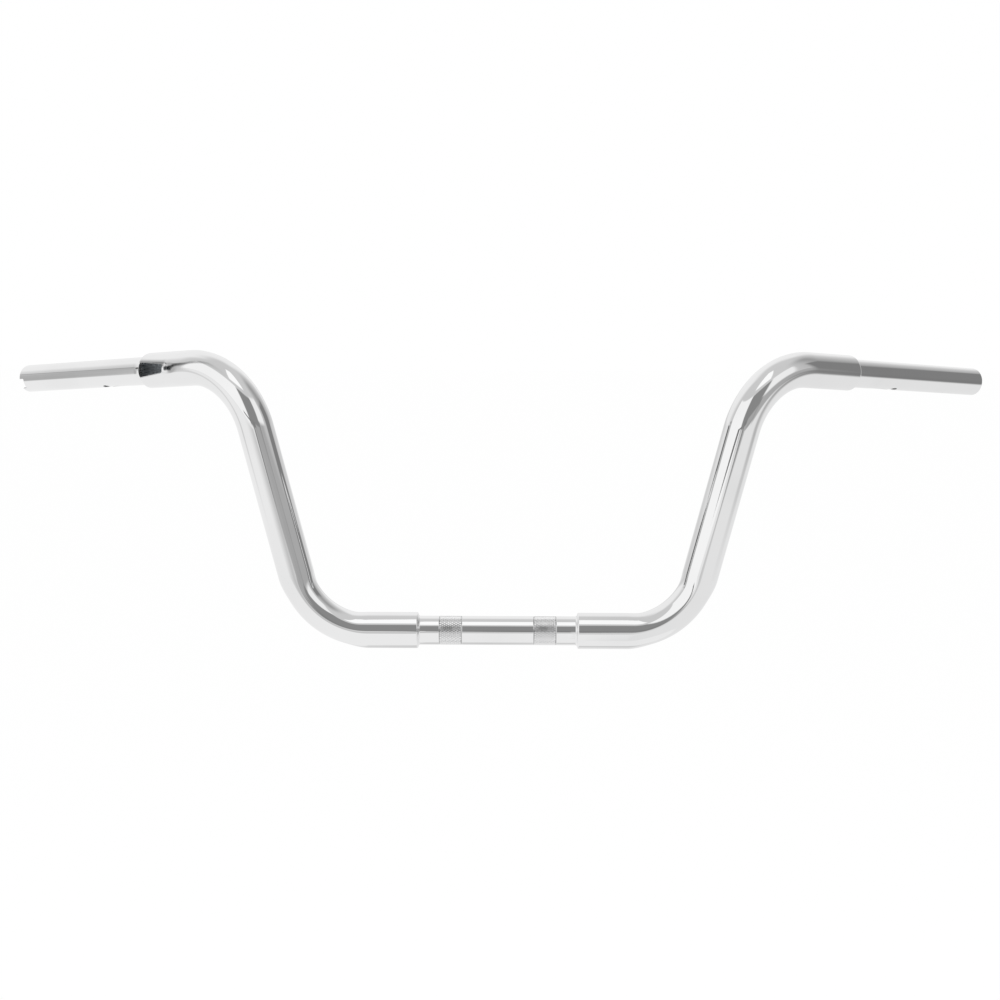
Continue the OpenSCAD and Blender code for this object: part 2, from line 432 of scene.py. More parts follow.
@dataclass
class Opening:
    """A cut through a tube's wall: matching outlines and blocks on its two skins."""

    lip: float
    closed: bool
    blends: tuple[float, ...] = (0.06, 0.15, 0.3, 0.5, 0.75, 1.0)
    lip_rows: int = 4

    def rim(self, skin: Skin, block: Block) -> tuple[Array, Array]:
        """Walks round the block that makes room for the cut.

        Args:
            skin: The skin that is cut.
            block: First row, last row, first column and last column of the block.

        Returns:
            Lengths along the section and angles of the points on the way.
        """
        i0, i1, j0, j1 = block
        last = len(skin.profile.rows) - 1
        if self.closed:
            walk = [(i0, j) for j in range(j0, j1)] + [(i, j1) for i in range(i0, i1)]
            walk += [(i1, j) for j in range(j1, j0, -1)] + [(i, j0) for i in range(i1, i0, -1)]
        elif i1 == last:
            walk = [(i, j1) for i in range(i1, i0, -1)] + [(i0, j) for j in range(j1, j0, -1)]
            walk += [(i, j0) for i in range(i0, i1 + 1)]
        else:
            walk = [(i, j1) for i in range(i0, i1)] + [(i1, j) for j in range(j1, j0, -1)]
            walk += [(i, j0) for i in range(i1, i0 - 1, -1)]
        rows = np.array(skin.profile.rows)
        return rows[[i for i, _ in walk]], skin.angles[[j for _, j in walk]]

    def margin(self, skin: Skin, v: Array, angle: Array, rim: tuple[Array, Array],
               lip: Array) -> tuple[Facing, Array]:
        """Surface between the outline of the cut and the block round it.

        Args:
            skin: The skin that is cut.
            v: Lengths along the section of the outline's points.
            angle: Their angles.
            rim: The block's own lengths and angles, point for point.
            lip: Radius of the rounded edge at each point.

        Returns:
            The surface, and the points of its innermost ring.
        """
        _, r = skin.profile.at(v)
        y = angle * r
        if self.closed:
            tv, ty = np.roll(v, -1) - np.roll(v, 1), np.roll(y, -1) - np.roll(y, 1)
        else:
            tv, ty = np.gradient(v), np.gradient(y)
        off = np.stack([ty, -tv], axis=1)
        if not self.closed:
            off[[0, -1], 0] = 0.0
        off = unit(off)
        towards = np.stack([rim[0] - v, rim[1] * r - y], axis=1)
        off = off * np.where(np.sum(off * towards, axis=1) < 0, -1.0, 1.0)[:, None]
        cv, ca = v + lip * off[:, 0], angle + lip * off[:, 1] / r
        rings: list[Array] = []
        normals: list[Array] = []
        painted_shades = [skin.painted_shade_at(v, angle)] * (1 if skin.inward else self.lip_rows)
        if not skin.inward:
            down, round_ = skin.slopes(cv, ca)
            away = unit(off[:, :1] * down + off[:, 1:] * round_)
            normal, centre = skin.normal(cv, ca), skin.point(cv, ca)
            for k in range(self.lip_rows):
                turn = math.pi / 2 * k / self.lip_rows
                lean = math.sin(turn) * normal - math.cos(turn) * away
                rings.append(centre + lip[:, None] * (lean - normal))
                normals.append(lean)
        else:
            rings.append(skin.point(v, angle))
            normals.append(skin.normal(v, angle))
        for t in (0.0, *self.blends):
            bv, ba = cv + (rim[0] - cv) * t, ca + (rim[1] - ca) * t
            rings.append(skin.point(bv, ba))
            normals.append(skin.normal(bv, ba))
            painted_shades.append(skin.painted_shade_at(bv, ba))
        faces = strip_faces(len(rings), len(v), self.closed)
        made = Facing(np.concatenate(rings), np.concatenate(normals), faces, skin.coat,
                      np.concatenate(painted_shades))
        return made, rings[0]

    def wall(self, outer: Array, inner: Array, middle: Array) -> Facing:
        """Cut face between the two skins.

        Args:
            outer: Ring of points at the outer skin.
            inner: Ring of points at the inner skin.
            middle: A point inside the opening, towards which the face looks.

        Returns:
            The cut face.
        """
        steps = 4
        rings = [outer + (inner - outer) * k / (steps - 1) for k in range(steps)]
        if self.closed:
            tangent = np.roll(outer, -1, axis=0) - np.roll(outer, 1, axis=0)
        else:
            tangent = np.gradient(outer, axis=0)
        through = inner - outer
        weak = np.linalg.norm(through, axis=1) < 1e-3
        if weak.any():
            through[weak] = through[~weak].mean(axis=0)
        normal = unit(np.cross(tangent, through))
        away = np.sum(normal * (middle - outer), axis=1) < 0
        normal = normal * np.where(away, -1.0, 1.0)[:, None]
        faces = strip_faces(steps, len(outer), self.closed)
        return Facing(np.concatenate(rings), np.tile(normal, (steps, 1)), faces, Coat.CUT)

    def through(self, outer: Skin, inner: Skin, blocks: Sequence[Block],
                outline: Callable[[Skin, Block], tuple[Array, Array]]) -> list[Facing]:
        """Makes the whole cut.

        Args:
            outer: The tube's outer skin.
            inner: Its inner skin.
            blocks: The block left out of each of them.
            outline: Gives the outline's lengths and angles on a skin round its block.

        Returns:
            The margins on both skins and the wall between them.
        """
        made: list[Facing] = []
        rings: list[Array] = []
        lip: Optional[Array] = None
        middle = np.zeros(3)
        for skin, block in zip((outer, inner), blocks):
            rim = self.rim(skin, block)
            v, angle = outline(skin, block)
            if lip is None:
                edge = 0.0 if block[0] == 0 else skin.profile.run[-1]
                room = np.full(len(v), 9.0) if self.closed else 0.5 * np.abs(v - edge)
                lip = np.minimum(self.lip, room)
                middle = skin.point(v, angle).mean(axis=0)
            part, ring = self.margin(skin, v, angle, rim, lip)
            made.append(part)
            rings.append(ring)
        made.append(self.wall(rings[0], rings[1], middle))
        return made


def spread(path: Array, weights: Array, count: int) -> Array:
    """Points at even weighted distances along a path.

    Args:
        path: Points of the path, two numbers each.
        weights: Weight of each stretch of it.
        count: Number of stretches wanted.

    Returns:
        The new points, one more than count.
    """
    steps = np.linalg.norm(np.diff(path, axis=0), axis=1)
    run = np.concatenate([[0.0], np.cumsum(steps * weights)])
    at = np.linspace(0.0, run[-1], count + 1)
    return np.stack([np.interp(at, run, path[:, k]) for k in range(2)], axis=1)


def mirrored(skin: Skin, block: Block, path: Array, weights: Array, mid: int,
             turn: float) -> tuple[Array, Array]:
    """Outline of a cut from its half, point for point with the block round it.

    Args:
        skin: The skin that is cut.
        block: The block left out of it.
        path: Lengths along the section of the half's points, and their heights in mm.
        weights: Weight of each stretch of it.
        mid: Number of the point that belongs to the block's corner.
        turn: Angle of the cut's middle below the front.

    Returns:
        Lengths along the section and angles of the outline's points.
    """
    side = spread(path[:mid + 1], weights[:mid], abs(block[1] - block[0]))
    tip = spread(path[mid:], weights[mid:], (block[3] - block[2]) // 2)
    half = np.vstack([side, tip[1:]])
    full = np.vstack([half, (half * [1, -1])[-2::-1]])
    _, r = skin.profile.at(full[:, 0])
    return full[:, 0], turn + np.arcsin(np.clip(full[:, 1] / r, -0.99, 0.99))


@dataclass
class SlotForm:
    """Outline of the tapered wiring slot, in mm from the riser's nose and from its middle."""

    length: float = 32.4
    height: float = 14.0
    inner_height: float = 8.0
    corner: float = 2.4
    lip_past_nose: float = 0.5
    turn: float = math.radians(-3.5)
    room_in: float = 36.0
    room_out: float = 3.5
    room_columns: int = 18
    corner_steps: int = 16
    corner_weight: float = 3.0

    def half_height(self, x: Array) -> Array:
        """Half of the slot's height at a distance from the nose, with its sides carried on."""
        taper = (self.height - self.inner_height) / 2
        return self.height / 2 + taper * np.clip(x / self.length, -1.0, 0.0)

    def half(self) -> tuple[Array, Array, int, int]:
        """Half of the outline, from the middle of the inner end to the middle of the outer one.

        Returns:
            Points, weight of each stretch, and the numbers of the two corners' middle points.
        """
        left, right = self.corner - self.length, self.lip_past_nose - self.corner
        inner, outer = self.inner_height / 2 - self.corner, self.height / 2 - self.corner
        lean = math.degrees(math.atan2(outer - inner, right - left))
        points = [(left - self.corner, 0.0)]
        weights: list[float] = []
        middles: list[int] = []
        for centre, start, end in (((left, inner), 180.0, 90.0 + lean),
                                   ((right, outer), 90.0 + lean, 0.0)):
            for k in range(self.corner_steps + 1):
                a = math.radians(start + (end - start) * k / self.corner_steps)
                points.append((centre[0] + self.corner * math.cos(a),
                               centre[1] + self.corner * math.sin(a)))
                weights.append(1.0 if k == 0 else self.corner_weight)
                if k == self.corner_steps // 2:
                    middles.append(len(points) - 1)
        points.append((right + self.corner, 0.0))
        weights.append(1.0)
        return np.array(points), np.array(weights), middles[0], middles[1]

    def outline(self, skin: Skin, block: Block, nose: float,
                end: float) -> tuple[Array, Array]:
        """The stretch of the outline that lies on one tube, from its open end round and back.

        Args:
            skin: The skin that is cut.
            block: The block left out of it.
            nose: Distance of the riser's nose along the centre line.
            end: Distance of the tube's own end from the nose, at which the slot is open.

        Returns:
            Lengths along the section and angles of the outline's points.
        """
        points, weights, inner_mid, mid = self.half()
        if block[0] == 0:
            first = np.flatnonzero(points[:, 0] > end)[0]
        else:
            points, weights, mid = points[::-1], weights[::-1], len(points) - 1 - inner_mid
            first = np.flatnonzero(points[:, 0] < end)[0]
        step = (end - points[first - 1, 0]) / (points[first, 0] - points[first - 1, 0])
        start = points[first - 1] + (points[first] - points[first - 1]) * step
        start[0] = end
        path = np.vstack([start[None], points[first:]])
        weights, mid = weights[first - 1:], mid - first + 1
        path[:, 0] = skin.profile.place(nose + path[:, 0])
        border = 0.0 if block[0] == 0 else skin.profile.run[-1]
        if abs(path[0, 0] - border) > 1e-6:
            path = np.vstack([[[border, path[0, 1]]], path])
            weights, mid = np.concatenate([[1.0], weights]), mid + 1
        return mirrored(skin, block, path, weights, mid, self.turn)


class Nodes:
    """A node tree, with short ways to make its nodes and link them."""

    def __init__(self, tree: Tree) -> None:
        """Works on the given tree."""
        self.tree = tree

    def fill(self, node: bpy.types.Node, inputs: Inputs) -> None:
        """Feeds inputs of a node.

        Args:
            node: The node.
            inputs: A socket to link or a plain value, by the input's name or number.
        """
        for key, value in inputs.items():
            if isinstance(value, Socket):
                self.tree.links.new(value, node.inputs[key])
            else:
                node.inputs[key].default_value = value

    def node(self, kind: str, inputs: Optional[Inputs] = None,
             **fixed: object) -> bpy.types.Node:
        """Adds a node.

        Args:
            kind: Type of the node.
            inputs: What its inputs are fed with.
            fixed: The node's own properties.

        Returns:
            The new node.
        """
        made = self.tree.nodes.new(kind)
        for key, value in fixed.items():
            setattr(made, key, value)
        self.fill(made, inputs or {})
        return made

    def maths(self, operation: str, *values: object) -> Socket:
        """A math node fed by sockets or numbers."""
        return self.node("ShaderNodeMath", dict(enumerate(values)), operation=operation).outputs[0]

    def joined(self, *values: object) -> Socket:
        """A vector of up to three sockets or numbers."""
        return self.node("ShaderNodeCombineXYZ", dict(enumerate(values))).outputs[0]

    def bump(self, height: Socket, strength: float, distance: float) -> Socket:
        """The normal of a bump node."""
        return self.node("ShaderNodeBump", {
            "Strength": strength, "Distance": distance, "Height": height}).outputs[0]

    def ramp(self, value: object, low: float, high: float, to_low: float = 0.0,
             to_high: float = 1.0) -> Socket:
        """A map range node with soft ends."""
        inputs = dict(enumerate((value, low, high, to_low, to_high)))
        return self.node("ShaderNodeMapRange", inputs, interpolation_type="SMOOTHSTEP").outputs[0]

    def noise(self, vector: object, scale: float, detail: float = 3.0,
              rough: float = 0.5) -> Socket:
        """The value of a noise texture."""
        return self.node("ShaderNodeTexNoise", {"Vector": vector, "Scale": scale, "Detail": detail,
                                                "Roughness": rough}).outputs[0]

    def blend(self, share: object, a: object, b: object) -> Socket:
        """A mix of two colours."""
        return self.node("ShaderNodeMix", {"Factor": share, "A": a, "B": b},
                         data_type="RGBA").outputs["Result"]


def node_group(name: str, inputs: Sequence[tuple[str, str, object]],
               outputs: Sequence[tuple[str, str]],
               kind: str = "ShaderNodeTree") -> tuple[Nodes, bpy.types.Node, bpy.types.Node]:
    """Starts a node group.

    Args:
        name: Name of the group.
        inputs: Name, socket type and first value of each input.
        outputs: Name and socket type of each output.
        kind: Kind of tree.

    Returns:
        The group's nodes, its input node and its output node.
    """
    tree = bpy.data.node_groups.new(name, kind)
    for label, socket_type, value in inputs:
        socket = tree.interface.new_socket(label, in_out="INPUT", socket_type=socket_type)
        if value is not None:
            socket.default_value = value
    for label, socket_type in outputs:
        tree.interface.new_socket(label, in_out="OUTPUT", socket_type=socket_type)
    made = Nodes(tree)
    return made, made.node("NodeGroupInput"), made.node("NodeGroupOutput")


def new_material(name: str) -> tuple[Material, Nodes, bpy.types.Node]:
    """Starts a material.

    Args:
        name: Name of the material.

    Returns:
        The material, its nodes and its Principled shader.
    """
    made = bpy.data.materials.new(name)
    made.use_nodes = True
    return made, Nodes(made.node_tree), made.node_tree.nodes["Principled BSDF"]


def placed(name: str, data: bpy.types.ID) -> bpy.types.Object:
    """Puts an object into the scene, at the origin.

    Args:
        name: Name of the object.
        data: Its mesh, light or camera.

    Returns:
        The new object.
    """
    made = bpy.data.objects.new(name, data)
    bpy.context.scene.collection.objects.link(made)
    return made


def welds(points: Array, which: Array) -> Array:
    """Number of the point that each point is welded to.

    Args:
        points: All points.
        which: Numbers of those on a border, the only ones that can meet another.

    Returns:
        One number for each point, its own where it meets no other.
    """
    tree = kdtree.KDTree(len(which))
    for k, n in enumerate(which):
        tree.insert(points[n], k)
    tree.balance()
    target = np.arange(len(points))
    for n in which:
        if target[n] == n:
            for _, k, _ in tree.find_range(points[n], WELD_REACH):
                if target[which[k]] == which[k]:
                    target[which[k]] = n
    return target


def tube_piece(name: str, facings: Sequence[Facing], side: Side,
               finishes: Sequence[Material]) -> bpy.types.Object:
    """Welds stretches of surface into one closed piece with their own exact normals.

    Args:
        name: Name of the piece.
        facings: Its stretches of surface, in mm, on the right side.
        side: Side of the bar to which the piece goes.
        finishes: Materials in the order of Coat.

    Returns:
        The new object, which stands at the origin.
    """
    flip = np.array([float(side.value), 1.0, 1.0])
    points = np.concatenate([f.points for f in facings]) * flip
    normals = np.concatenate([f.normals for f in facings]) * flip
    painted_shades = np.concatenate([np.zeros(len(f.points)) if f.painted_shade is None else f.painted_shade
                             for f in facings])
    faces: list[Array] = []
    coats: list[Array] = []
    start = 0
    border = np.zeros(len(points), bool)
    for f in facings:
        corner = f.faces + start
        p = points[corner]
        look = np.cross(p[:, 2] - p[:, 0], p[:, 3] - p[:, 1])
        if np.sum(look * normals[corner].mean(axis=1)) < 0:
            corner = corner[:, ::-1]
        faces.append(corner)
        coats.append(np.full(len(corner), f.coat.value))
        edges = np.sort(np.concatenate([corner[:, [k, (k + 1) % 4]] for k in range(4)]), axis=1)
        lone, times = np.unique(edges, axis=0, return_counts=True)
        border[lone[times == 1].ravel()] = True
        start += len(f.points)
    target = welds(points, np.flatnonzero(border))
    table = np.concatenate(faces)
    used = np.unique(target[table])
    number = np.full(len(points), -1)
    number[used] = np.arange(len(used))
    loops: list[tuple[int, ...]] = []
    corners: list[Array] = []
    kept: list[int] = []
    for row, coat in zip(table, np.concatenate(coats)):
        ring: list[int] = []
        looks: list[Array] = []
        for n in row:
            m = int(number[target[n]])
            if m not in ring:
                ring.append(m)
                looks.append(normals[n])
        if len(ring) > 2:
            loops.append(tuple(ring))
            corners += looks
            kept.append(int(coat))
    mesh = bpy.data.meshes.new(name)
    mesh.from_pydata((points[used] * MM).tolist(), [], loops)
    mesh.polygons.foreach_set("material_index", kept)
    mesh.polygons.foreach_set("use_smooth", [True] * len(loops))
    for finish in finishes:
        mesh.materials.append(finish)
    mesh.update()
    mesh.normals_split_custom_set(np.array(corners).tolist())
    # Point attribute with the share of painted shade and painted dark reflection.
    layer = mesh.attributes.new("painted_shade", "FLOAT", "POINT")
    layer.data.foreach_set("value", painted_shades[used].astype(np.float32))
    piece = placed(name, mesh)
    sides = [(a, b) for ring in loops for a, b in zip(ring, ring[1:] + ring[:1])]
    edges = np.sort(np.array(sides), axis=1)
    _, times = np.unique(edges, axis=0, return_counts=True)
    LOG.info("%s: %d faces, %d open edges", name, len(loops), int(np.sum(times != 2)))
    return piece


@dataclass
class Riser:
    """Fat bent tube from the clamp tube to the grip, with the wiring slot on the left side."""

    side: Side
    line: CentreLine
    radius: float = 15.875
    bore: float = 12.7
    foot_round: float = 1.4
    rows: tuple[float, float] = (9.0, 1.4)
    bore_rows: tuple[float, float] = (12.0, 4.0)
    neck_rows: tuple[float, float] = (1.5, 6.0)
    plain_neck_rows: tuple[float, float] = (8.0, 10.0)
    fine_row: float = 0.6
    nose_rows: int = 14
    slot: SlotForm = field(default_factory=SlotForm)
    slot_edge: float = 0.7
    dish: float = 0.5
    dish_past: float = 8.0
    dish_size: tuple[float, float] = (5.5, 3.6)
    bevel: float = 0.4
    bevel_width: float = 4.2
    fade: float = 3.0
    # Strength of the painted shade along the nose seam and of the painted dark reflection along the
    # bevel above the slot.
    seam_shade: float = 0.8
    bevel_dark_reflection: float = 0.55

    def dent(self, s: Array, angle: Array, r: Array) -> Array:
        """Draws the skin in round the slot, where the tube was worked by hand.

        Args:
            s: Distances in mm from the riser's foot.
            angle: Angles below the front, in radians.
            r: Radii in mm before it.

        Returns:
            Radii in mm after it.
        """
        x = s - self.line.nose_at
        turn = angle - self.slot.turn
        y = r * np.sin(turn)
        length, height = self.dish_size
        bowl = self.dish * np.exp(-((x + self.slot.length + self.dish_past) / length) ** 2
                                  - (y / height) ** 2)
        reach = (self.slot.half_height(x) + self.bevel_width + y) / self.bevel_width
        ends = smooth((x + self.slot.room_in) / self.fade + 1.0) * smooth(-x / self.fade)
        upper = self.bevel * np.clip(reach, 0.0, 1.2) ** 2 * ends * smooth(-y / 2.0)
        return r - np.where(np.cos(turn) > 0, bowl + upper, 0.0)

    def painted_shade(self, s: Array, angle: Array) -> Array:
        """Painted dark reflection past the slot's inner end, its tail along the bend and the bevel
        above the slot, and painted shade along the seam.

        Args:
            s: Distances in mm from the riser's foot.
            angle: Angles below the front, in radians.

        Returns:
            Share of painted shade and painted dark reflection, from 0 to 1.
        """
        x = s - self.line.nose_at
        # Painted shade along the seam at the nose.
        if self.side is Side.RIGHT:
            return self.seam_shade * smooth((x + 0.5) / 0.3)
        seam = self.seam_shade * smooth((x + 0.16) / 0.1)
        # Painted dark reflection of a pit past the slot's inner end, with its tail along the bend.
        off = np.abs(np.degrees(angle) - np.interp(x, *DARK_REFLECTION_MIDDLE)) / np.interp(x, *DARK_REFLECTION_WIDTH)
        painted_darkness = np.interp(x, *DARK_REFLECTION_DEPTH) * smooth(1.6 - off)
        # Painted dark reflection along the bevel above the slot.
        turn = angle - self.slot.turn
        above = -self.radius * np.sin(turn) - self.slot.half_height(x)
        band = self.bevel_dark_reflection * smooth(1.0 - above / self.bevel_width) * (above > -2.0)
        band = band * smooth((x + self.slot.length + 4.0) / self.fade)
        band = band * smooth(0.4 - x / self.fade)
        return np.maximum(np.maximum(painted_darkness, seam), np.where(np.cos(turn) > 0, band, 0.0))

    def skins(self) -> tuple[Skin, Skin]:
        """Lays out both skins, with close rows where the form changes.

        Returns:
            The outer skin and the bore.
        """
        line, nose, left = self.line, self.line.nose_at, self.side is Side.LEFT
        cut, nose_round = nose - self.slot.room_in, self.radius - self.bore
        stops = line.stops(self.foot_round, *self.rows)
        coarse = line.stops(0.0, *self.bore_rows)
        fine, wide = self.neck_rows if left else self.plain_neck_rows
        if left:
            close = even(cut, nose - nose_round, self.fine_row)
            stops += even(line.neck_at, cut, fine) + [cut] + close
            coarse += even(line.neck_at, cut, wide) + [cut]
            coarse += shares(cut, nose, len(close) + 1 + self.nose_rows)
        else:
            stops += even(line.neck_at, nose - nose_round, fine)
            coarse += even(line.neck_at, nose, wide)
        outer = Profile(0.0, self.bore).to(0.0, self.radius - self.foot_round)
        outer.arc(self.foot_round, self.radius - self.foot_round, self.foot_round, 180, 90, 7)
        outer.to(nose - nose_round, self.radius, stops)
        outer.arc(nose - nose_round, self.bore, nose_round, 90, 0, self.nose_rows)
        inner = Profile(0.0, self.bore).to(nose, self.bore, coarse)
        return (Skin(line, outer, dent=self.dent if left else None, painted_shade=self.painted_shade),
                Skin(line, inner, Coat.BORE, inward=True))

    def build(self, finishes: Sequence[Material]) -> bpy.types.Object:
        """Makes the riser.

        Args:
            finishes: Materials in the order of Coat.

        Returns:
            The finished piece.
        """
        skins = self.skins()
        facings: list[Facing] = []
        blocks: list[Block] = []
        if self.side is Side.LEFT:
            nose = self.line.nose_at
            blocks = [skin.block(self.slot.turn, self.slot.room_columns, nose - self.slot.room_in)
                      for skin in skins]
            facings += Opening(self.slot_edge, False).through(
                *skins, blocks, lambda skin, block: self.slot.outline(skin, block, nose, 0.0))
        facings += [skin.sheet(blocks[k:k + 1]) for k, skin in enumerate(skins)]
        piece = tube_piece("riser_tube_" + self.side.name.lower(), facings, self.side, finishes)
        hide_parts("riser_" + self.side.name.lower())
        return piece


@dataclass
class GripTube:
    """Thin tube that carries the grip, with its dimple and wire hole, and a notch on the left."""

    side: Side
    line: CentreLine
    radius: float = 12.7
    spigot: float = 12.4
    spigot_length: float = 20.0
    bore: float = 10.6
    seat: float = 11.05
    seat_length: float = 60.0
    length: float = 168.4
    end_round: float = 0.6
    hole_radius: float = 4.75
    hole_at: float = 55.0
    hole_room: float = 7.0
    hole_edge: float = 0.5
    notch_edge: float = 0.25
    slot_edge: float = 0.3
    fine_row: float = 0.5
    wide_row: float = 12.0
    cut_columns: int = 13
    under: float = math.radians(84.0)
    dimple_at: float = 37.5
    dimple_depth: float = 1.8
    dimple_length: float = 26.0
    dimple_radius: float = 7.0
    dimple_edge: float = 0.35
    notch_width: float = 9.5
    notch_depth: float = 5.5
    notch_room: float = 2.5
    notch_corner: float = 1.0
    notch_under: float = math.radians(24.0)
    flare: float = 0.6
    flare_length: float = 7.5
    # Strength of the painted shade along the weld seam at the nose.
    seam_shade: float = 0.6
    seam_width: float = 1.3
    slot: SlotForm = field(default_factory=SlotForm)

    def painted_shade(self, s: Array, angle: Array) -> Array:
        """Painted shade in a dull line along the weld at the riser's nose."""
        past = s - self.line.nose_at
        return self.seam_shade * smooth(1.0 - past / self.seam_width) * (past >= 0.0)

    def outer_dent(self, s: Array, angle: Array, r: Array) -> Array:
        """Adds the low weld flare at the nose to the dimple, on the slot's side.

        Args:
            s: Distances in mm from the riser's foot.
            angle: Angles below the front, in radians.
            r: Radii in mm before it.

        Returns:
            Radii in mm after it.
        """
        past = s - self.line.nose_at
        low = np.clip(1.0 - past / self.flare_length, 0.0, 1.0) ** 2 * (past >= 0.0)
        return self.dent(s, angle, r) + (self.flare * low if self.side is Side.LEFT else 0.0)

    def dent(self, s: Array, angle: Array, r: Array) -> Array:
        """Presses the dimple into a skin, with a soft edge.

        Args:
            s: Distances in mm from the riser's foot.
            angle: Angles below the front, in radians.
            r: Radii in mm before it.

        Returns:
            Radii in mm after it.
        """
        x = s - self.line.nose_at - self.dimple_at
        turn = angle - self.under
        y = r * np.sin(turn)
        level = r * np.cos(turn)
        depth = self.dimple_depth * (1 - (2 * x / self.dimple_length) ** 2)
        bed = self.dimple_radius - np.sqrt(np.maximum(self.dimple_radius ** 2 - y ** 2, 0.25))
        gap, soft = level - (r - depth + bed), self.dimple_edge
        sunk = np.maximum(gap + soft, 0.0) ** 2 / (4 * soft)
        sunk = np.where(gap > soft, gap, sunk)
        near = (np.cos(turn) > 0.5) & (np.abs(x) < self.dimple_length * 0.75)
        new_level = level - np.where(near, sunk, 0.0)
        return np.where(near, np.sqrt(y ** 2 + new_level ** 2), r)

    def skins(self) -> tuple[Skin, Skin]:
        """Lays out both skins, with matching rows round every cut.

        Returns:
            The outer skin and the bore.
        """
        nose = self.line.nose_at
        start, end = nose - self.spigot_length, nose + self.length
        hole_from = nose + self.hole_at - self.hole_room
        hole_to = nose + self.hole_at + self.hole_room
        notch_from = end - self.notch_depth - self.notch_room
        past, brim = nose + self.slot.room_out, end - self.end_round
        fine, wide = self.fine_row, self.wide_row
        middle = [hole_from] + even(hole_from, hole_to, fine) + [hole_to]
        slot_rows = even(start, nose, 0.8)
        flare_rows = [nose + 0.09, nose + 0.2] + even(nose, past, fine) + [past]
        notch_rows = even(notch_from, brim, fine)
        outer = Profile(start, self.bore).to(start, self.spigot)
        outer.to(nose - 0.01, self.spigot, slot_rows).to(nose, self.radius)
        outer.to(brim, self.radius, flare_rows + even(past, hole_from, 1.0) + middle
                 + even(hole_to, notch_from, wide) + [notch_from] + notch_rows)
        outer.arc(brim, self.radius - self.end_round, self.end_round, 90, 0, 5)
        outer.to(end, self.seat)
        step = end - self.seat_length
        lead, tail = len(slot_rows) + len(flare_rows) + 3, len(notch_rows) + 7
        inner = Profile(start, self.bore).to(
            step - self.seat + self.bore, self.bore, shares(start, past, lead) + [past]
            + even(past, hole_from, 2.0) + middle + even(hole_to, step, wide))
        inner.to(step, self.seat).to(
            end, self.seat, even(step, notch_from, wide) + [notch_from]
            + shares(notch_from, end, tail))
        # Painted seam shade on the right grip tube only.
        painted_shade = self.painted_shade if self.side is Side.RIGHT else None
        return (Skin(self.line, outer, dent=self.outer_dent, painted_shade=painted_shade),
                Skin(self.line, inner, Coat.BORE, inward=True, dent=self.dent))

    def hole_outline(self, skin: Skin, block: Block) -> tuple[Array, Array]:
        """Outline of the wire hole on one skin, point for point with the block round it.

        Args:
            skin: The skin that is cut.
            block: The block left out of it.

        Returns:
            Lengths along the section and angles of the outline's points.
        """
        v, a = Opening(0.0, True).rim(skin, block)
        s, r = skin.profile.at(v)
        turn = np.arctan2(r * np.sin(a - self.under), s - self.line.nose_at - self.hole_at)
        s = self.line.nose_at + self.hole_at + self.hole_radius * np.cos(turn)
        y = self.hole_radius * np.sin(turn)
        return skin.profile.place(s), self.under + np.arcsin(y / float(np.mean(r)))

    def notch_outline(self, skin: Skin, block: Block) -> tuple[Array, Array]:
        """Outline of the end notch on one skin, from the tube's end round and back.

        Args:
            skin: The skin that is cut.
            block: The block left out of it.

        Returns:
            Lengths along the section and angles of the outline's points.
        """
        half, corner = self.notch_width / 2, self.notch_corner
        floor = self.line.nose_at + self.length - self.notch_depth
        start = skin.profile.run[-1]
        side_v = float(skin.profile.place(np.array(floor + corner)))
        path = [(start, half), (side_v, half)]
        weights = [1.0]
        steps = 12
        for k in range(1, steps + 1):
            a = math.radians(90 * k / steps)
            path.append((side_v - corner * math.sin(a), half - corner + corner * math.cos(a)))
            weights.append(self.slot.corner_weight)
        path.append((side_v - corner, 0.0))
        weights.append(1.0)
        return mirrored(skin, block, np.array(path), np.array(weights), 1 + steps // 2,
                        self.notch_under)

    def build(self, finishes: Sequence[Material]) -> bpy.types.Object:
        """Makes the grip tube.

        Args:
            finishes: Materials in the order of Coat.

        Returns:
            The finished piece.
        """
        skins = self.skins()
        nose, slot = self.line.nose_at, self.slot
        hole, notch = nose + self.hole_at, nose + self.length - self.notch_depth
        facings: list[Facing] = []
        cuts: list[list[Block]] = [[], []]

        def cut(blocks: list[Block], opening: Opening, outline: Callable) -> None:
            """Adds one cut through the wall and leaves its blocks out of both grids.

            Args:
                blocks: The block left out of each skin.
                opening: The cut.
                outline: Gives its outline on a skin.
            """
            facings.extend(opening.through(*skins, blocks, outline))
            for known, block in zip(cuts, blocks):
                known.append(block)

        cut([skin.block(self.under, self.cut_columns, hole - self.hole_room, hole + self.hole_room)
             for skin in skins], Opening(self.hole_edge, True), self.hole_outline)
        if self.side is Side.LEFT:
            cut([skin.block(self.notch_under, self.cut_columns, notch - self.notch_room)
                 for skin in skins], Opening(self.notch_edge, False), self.notch_outline)
            cut([skin.block(slot.turn, slot.room_columns, None, nose + slot.room_out)
                 for skin in skins], Opening(self.slot_edge, False),
                lambda skin, block: slot.outline(skin, block, nose, -self.spigot_length))
        facings += [skin.sheet(known) for skin, known in zip(skins, cuts)]
        piece = tube_piece("grip_end_" + self.side.name.lower(), facings, self.side, finishes)
        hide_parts("grip_tube_" + self.side.name.lower())
        return piece


